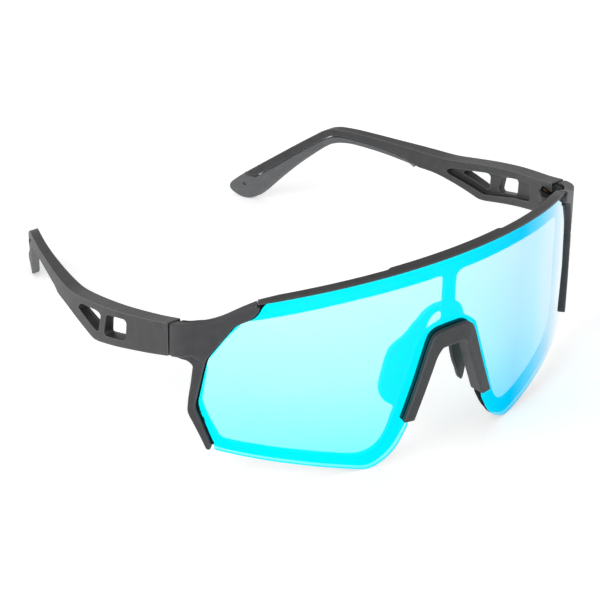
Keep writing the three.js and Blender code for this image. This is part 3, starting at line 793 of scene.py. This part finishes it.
def nose_saddle():
    """Soft pads on an arch, swept from one pad's foot to the other's."""
    outer = [
        (15.2, 15.2), (17.3, 16.5), (18.6, 19), (18.9, 21.6), (17.9, 28), (16.7, 33.4),
        (15.3, 36.1), (11.9, 40), (9.2, 44.4), (6.7, 47), (3.4, 48.6), (0, 48.8),
    ]
    inner = [
        (13.8, 15.3), (12.4, 16), (10.9, 17.6), (9, 20.7), (7, 25), (5.7, 29.6),
        (5.2, 33.6), (5.5, 38.2), (5.4, 41.5), (4.2, 44.2), (2.2, 45.8), (0, 46.1),
    ]
    count = 60
    rails = []
    for half in (outer, inner):
        whole = [*half, *[(-s, h) for s, h in half[-2::-1]]]
        rails.append(spline(whole, count * 2 + 1))
    rings = []
    for out, within in zip(*rails):
        ring = []
        for place, depth in ((out, 0), (within, 0), (within, SADDLE_THICKNESS), (out, SADDLE_THICKNESS)):
            slant = max(abs(place[0]) - PAD_START, 0) * PAD_SLOPE
            ring.append((*place, -SADDLE_FRONT - depth - slant))
        rings.append(np.array(ring))
    skin = loft(rings, [0.8, 0.8, 0.8, 0.8], steps=5, cap=0.7)
    stem_corners = [(s, h) for s, h in ((-1, 0), (1, 0), (1, 1), (-1, 1))]
    outline = rounded([(STEM_HALF_WIDTH * s, STEM[h], 0.5) for s, h in stem_corners])
    stem = prism(outline, -SADDLE_FRONT - SADDLE_THICKNESS / 2, RIM_BACK - GAP)
    whole = boolean(skin, "UNION", stem)
    return Build(wrap(whole.vertices), whole.faces)


# ---- Temples, wearer's left side ----

TEMPLE_TOP = [(SEAM_Y + GAP, 51.6, 0.6), (46, 49.3), (61, 45.5), (74, 42), (84, 39.2), (91.7, 37.2),
              (100, 36.3), (115.3, 34.9), (131.1, 33.7), (136.4, 33), (139.5, 31.8)]
SHELL_TIP = [(147.8, 24.7), (157, 16.4), (163.8, 10.2, 0.7), (163.2, 9.2, 0.6), (161.2, 9.2)]
SHELL_UNDER = [(157, 12.8), (150.4, 19), (144, 25), (139.5, 28.8), (136.4, 30.6), (132.2, 31.2),
               (118.4, 32), (107.2, 31.6), (103.4, 30, 0.8)]
TEMPLE_FOOT = [(96, 30.6), (86, 29.8), (76.6, 28.6, 1.2), (73.6, 29.2, 1.2), (66, 31.6), (55.7, 34.9),
               (46.4, 37.7), (SEAM_Y + GAP, 40.4, 0.6)]
# Each window slants through the wall: its edge on the outer face, and on the pocket's floor.
WINDOW_BACK = (
    [(87, 34.4, 0.9), (84, 37.3, 0.9), (73.8, 39.9, 0.9),
     (71.2, 39.7, 0.9), (73, 32.8, 0.8), (74.6, 32.2, 0.8)],
    [(86, 34, 0.7), (84.6, 35.2, 0.7), (74.6, 38.2, 0.7),
     (73.3, 37.8, 0.6), (73.6, 33, 0.6), (74.8, 32.5, 0.6)],
)
WINDOW_FRONT = (
    [(68.2, 40.9, 0.6), (67.2, 41.7, 0.6), (58.4, 44.1, 0.6), (57.3, 43.4, 0.6),
     (57.9, 37.2, 0.6), (58.8, 36.3, 0.6), (69.2, 33.2, 0.5), (70, 33.8, 0.5)],
    [(68.6, 38.9, 0.6), (67.8, 39.6, 0.6), (60.4, 42.2, 0.6), (59.4, 41.6, 0.6),
     (59.8, 37.4, 0.6), (60.6, 36.6, 0.6), (68.2, 34, 0.5), (69, 34.6, 0.5)],
)
POCKET = [(91.5, 33.4, 0.8), (89, 35, 0.8), (72, 39.9), (57.6, 43.9), (51.4, 45.4, 0.8), (50.6, 44.8, 0.7),
          (50.6, 39.7, 0.7), (51.4, 39, 0.8), (73.6, 31.4), (75, 31.2), (90.6, 32.4, 0.8)]
TEMPLE_STATIONS = np.arange(39, TIP_Y, 1.6)


def prism(outline, back, front, far_outline=None):
    """A prism over an outline, to cut with; its front end may have another outline of as many points."""
    count = len(outline)
    low = np.column_stack([outline, np.full(count, back)])
    high = np.column_stack([outline if far_outline is None else far_outline, np.full(count, front)])
    sides = [[k, (k + 1) % count, count + (k + 1) % count, count + k] for k in range(count)]
    return Build(np.vstack([low, high]), [list(range(count))[::-1], list(range(count, 2 * count)), *sides])


def disc(x, y, radius, count=32):
    around = np.linspace(0, 2 * pi, count + 1)[:-1]
    return np.array([(x + radius * cos(a), y + radius * sin(a)) for a in around])


HINGE_ROOM = 4.0


def temple():
    outline = rounded([*TEMPLE_TOP, *SHELL_TIP, *SHELL_UNDER, *TEMPLE_FOOT])
    body = prism(outline, 0, TEMPLE_THICKNESS)
    windows = [prism(rounded(outside, steps=3), -GAP, POCKET_FLOOR + GAP, rounded(inside, steps=3))
               for outside, inside in (WINDOW_BACK, WINDOW_FRONT)]
    recess = prism(rounded(POCKET, steps=3), POCKET_FLOOR, TEMPLE_THICKNESS + 1)
    shell = bevelled(boolean(body, "DIFFERENCE", *windows, recess), 0.3)
    shell = slice_at(shell, TEMPLE_STATIONS)
    shell = Build(bend_temple(shell.vertices), shell.faces)
    reach = KNUCKLE_RADIUS + KNUCKLE_CLEARANCE
    top = LUG_HIGH[1] + KNUCKLE_CLEARANCE
    low = LUG_LOW[0] - HINGE_ROOM
    square = np.array([(HINGE_X - HINGE_ROOM, SEAM_Y - 1), (HINGE_X + reach, SEAM_Y - 1),
                       (HINGE_X + reach, HINGE_Y), (HINGE_X - HINGE_ROOM, HINGE_Y)])
    rooms = [prism(disc(HINGE_X, HINGE_Y, reach), low, top), prism(square, low, top)]
    rooms = [Build(upright_place(room.vertices), room.faces) for room in rooms]
    return boolean(shell, "DIFFERENCE", *rooms)


def knuckle():
    """The temple's knuckle between the lugs, with its web into the temple."""
    turn = np.linspace(pi * 0.75, 2 * pi, 21)
    eye = [(HINGE_X + KNUCKLE_RADIUS * cos(a), HINGE_Y + KNUCKLE_RADIUS * sin(a)) for a in turn]
    outline = np.array([*eye, (HINGE_X + 3, HINGE_Y + 4), (HINGE_X - 0.4, HINGE_Y + 4)])
    made = plate(outline, *KNUCKLE, bevel=0.15, holes=[disc(HINGE_X, HINGE_Y, PIN_BORE, 24)], segments=2)
    return Build(upright_place(made.vertices), made.faces)


# A ridge along the grip's upper edge reaches the shell and leaves a groove on both faces. A blind hole near
# the tip, given by its y, height and radius, is open to the inside.
RIDGE = 0.32
RIDGE_DEPTHS = (1.6, 3.2)
BLIND_HOLE = (164.4, 5.6, 0.75)


def temple_grip():
    """The rubber strip under the temple's rear half, and its rounded tip."""
    upper = [(104, 29.9, 0.6), (107.4, 31.2), (118.4, 31.65), (132.2, 30.85), (136.2, 30.2), (139.2, 28.4),
             (143.7, 24.7), (150.1, 18.7), (156.8, 12.4), (161, 8.8, 0.5), (163.6, 8.9), (164.4, 9.7, 0.5)]
    tip = [(167, 7.3), (169.6, 4.6), (TIP_Y, 3), (169.4, 1.6), (166.8, 0.4), (164, 0), (161.6, 0.8)]
    under = [(159.3, 3.2), (154, 10.2), (147.8, 17.6), (141.3, 24.2), (138, 26.8), (134.7, 28.3),
             (130.5, 29.3), (118.4, 30)]
    outline = rounded([*upper, *tip, *under])
    flat = plate(outline, GRIP_SHIFT, TEMPLE_THICKNESS + GRIP_SHIFT, bevel=0.7, segments=4)
    raised = [(y, z + RIDGE, *reach) for y, z, *reach in upper]
    ridge = prism(rounded([*raised, *tip, *under]), *RIDGE_DEPTHS)
    blind_hole = prism(disc(*BLIND_HOLE), TEMPLE_THICKNESS - 1, TEMPLE_THICKNESS + 2)
    flat = boolean(boolean(flat, "UNION", ridge), "DIFFERENCE", blind_hole)
    flat = slice_at(flat, TEMPLE_STATIONS)
    return Build(bend_temple(flat.vertices), flat.faces)


# ---- Assembly ----

piece("rim", rim(), "front", [SHADED_FRAME_PLASTIC], "front_frame")
piece("brow", brow(), "front", [BROW_PLASTIC])
piece("hinge_lugs", lugs(), "front", [SHADED_FRAME_PLASTIC])
lens_build, lens_slots = lens()
piece("shield_lens", lens_build, "front", [LENS_MIRROR, LENS_CLEAR], "lens", choose=lens_slots)
piece("clip", nose_clip(), "front", [CLIP_PLASTIC], "nose_clip")
saddle = piece("saddle", nose_saddle(), "front", [SADDLE_SILICONE], "nose_saddle")

clamp, arm, arm_knuckle, grip = side_clamp(), temple(), knuckle(), temple_grip()
for side, turned in (("left", lambda build: build), ("right", mirrored)):
    piece(f"clamp_{side}", turned(clamp), "front", [CLAMP_PLASTIC], f"side_clamp_{side}")
    piece(f"arm_{side}", turned(arm), f"{side}_arm", [TEMPLE_PLASTIC], f"temple_{side}")
    piece(f"arm_knuckle_{side}", turned(arm_knuckle), f"{side}_arm", [TEMPLE_PLASTIC])
    piece(f"grip_{side}", turned(grip), f"{side}_arm", [GRIP_RUBBER], f"temple_grip_{side}")
    for node, material in ((f"hinge_screw_{side}", STEEL), (f"hinge_insert_{side}", BRASS),
                           (f"clamp_screw_upper_{side}", STEEL), (f"clamp_screw_lower_{side}", STEEL)):
        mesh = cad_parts[node].data
        mesh.materials.clear()
        mesh.materials.append(material)

# ---- Floor, light and camera ----


# The floor gives off a little light, so that it stays white under the lamps.
FLOOR_GLOW = 0.42


def floor():
    nodes = Nodes("floor")
    place = nodes.add("TexCoord").outputs["Object"]
    colour = nodes.ramp(nodes.noise(place, 3.0, 2), [(0.3, (0.93, 0.93, 0.93)), (0.7, (0.94, 0.94, 0.94))])
    glow = nodes.add("Emission", Color=(1, 1, 1, 1), Strength=FLOOR_GLOW)
    lit = nodes.add("AddShader")
    nodes.feed(lit.inputs[0], nodes.add("BsdfDiffuse", Color=colour).outputs["BSDF"])
    nodes.feed(lit.inputs[1], glow.outputs["Emission"])
    bpy.ops.mesh.primitive_plane_add(size=6)
    obj = bpy.context.object
    obj.name = "floor"
    obj.data.materials.append(nodes.finish(lit))


# Each lamp's place and size in metres, and its power in watts.
LAMPS = {"key": ((-0.9, -0.15, 0.8), 0.8, 4.5), "top": ((0.1, 0.3, 1.4), 1.2, 2.5)}
LAMP_AIM = (0, 0, 0.03)
HORIZON_STRENGTH = 1.0
ZENITH_STRENGTH = 0.2


def area(name, place, size, power):
    data = bpy.data.lights.new(name, "AREA")
    data.shape = "DISK"
    data.size = size
    data.energy = power
    lamp = bpy.data.objects.new(name, data)
    bpy.context.scene.collection.objects.link(lamp)
    lamp.location = place
    lamp.rotation_euler = (Vector(LAMP_AIM) - Vector(place)).to_track_quat("-Z", "Y").to_euler()


def light():
    """Lamps, and a white surround that is dimmer overhead."""
    world = bpy.data.worlds.new("studio")
    world.use_nodes = True
    tree = world.node_tree
    background = tree.nodes["Background"]
    background.inputs["Color"].default_value = (1, 1, 1, 1)
    split = tree.nodes.new("ShaderNodeSeparateXYZ")
    strength = tree.nodes.new("ShaderNodeMapRange")
    strength.inputs["To Min"].default_value = HORIZON_STRENGTH
    strength.inputs["To Max"].default_value = ZENITH_STRENGTH
    tree.links.new(tree.nodes.new("ShaderNodeTexCoord").outputs["Generated"], split.inputs["Vector"])
    tree.links.new(split.outputs["Z"], strength.inputs["Value"])
    tree.links.new(strength.outputs["Result"], background.inputs["Strength"])
    bpy.context.scene.world = world
    for name, settings in LAMPS.items():
        area(name, *settings)


# Azimuth, elevation and roll in degrees; place, focal length and sensor in millimetres.
CAMERA_ANGLES = (-35.8314, 30.359, -0.1407)
CAMERA_PLACE = (-581.0, -728.93 + Y_SHIFT, 597.4)
CAMERA_LENS = 220.072
SENSOR_WIDTH = 36.0


def camera():
    azimuth, elevation, roll = map(radians, CAMERA_ANGLES)
    level = Vector((cos(azimuth), sin(azimuth), 0))
    back = Vector((sin(azimuth) * cos(elevation), -cos(azimuth) * cos(elevation), sin(elevation)))
    right = level * cos(roll) + back.cross(level) * sin(roll)
    up = back.cross(right)
    data = bpy.data.cameras.new("camera")
    data.sensor_width = SENSOR_WIDTH
    data.lens = CAMERA_LENS
    data.clip_start = 0.05
    obj = bpy.data.objects.new("camera", data)
    bpy.context.scene.collection.objects.link(obj)
    obj.matrix_world = Matrix((
        (right.x, up.x, back.x, CAMERA_PLACE[0] * MM),
        (right.y, up.y, back.y, CAMERA_PLACE[1] * MM),
        (right.z, up.z, back.z, CAMERA_PLACE[2] * MM),
        (0, 0, 0, 1),
    ))
    bpy.context.scene.camera = obj


floor()
light()
camera()
bpy.context.scene.view_settings.view_transform = "Standard"
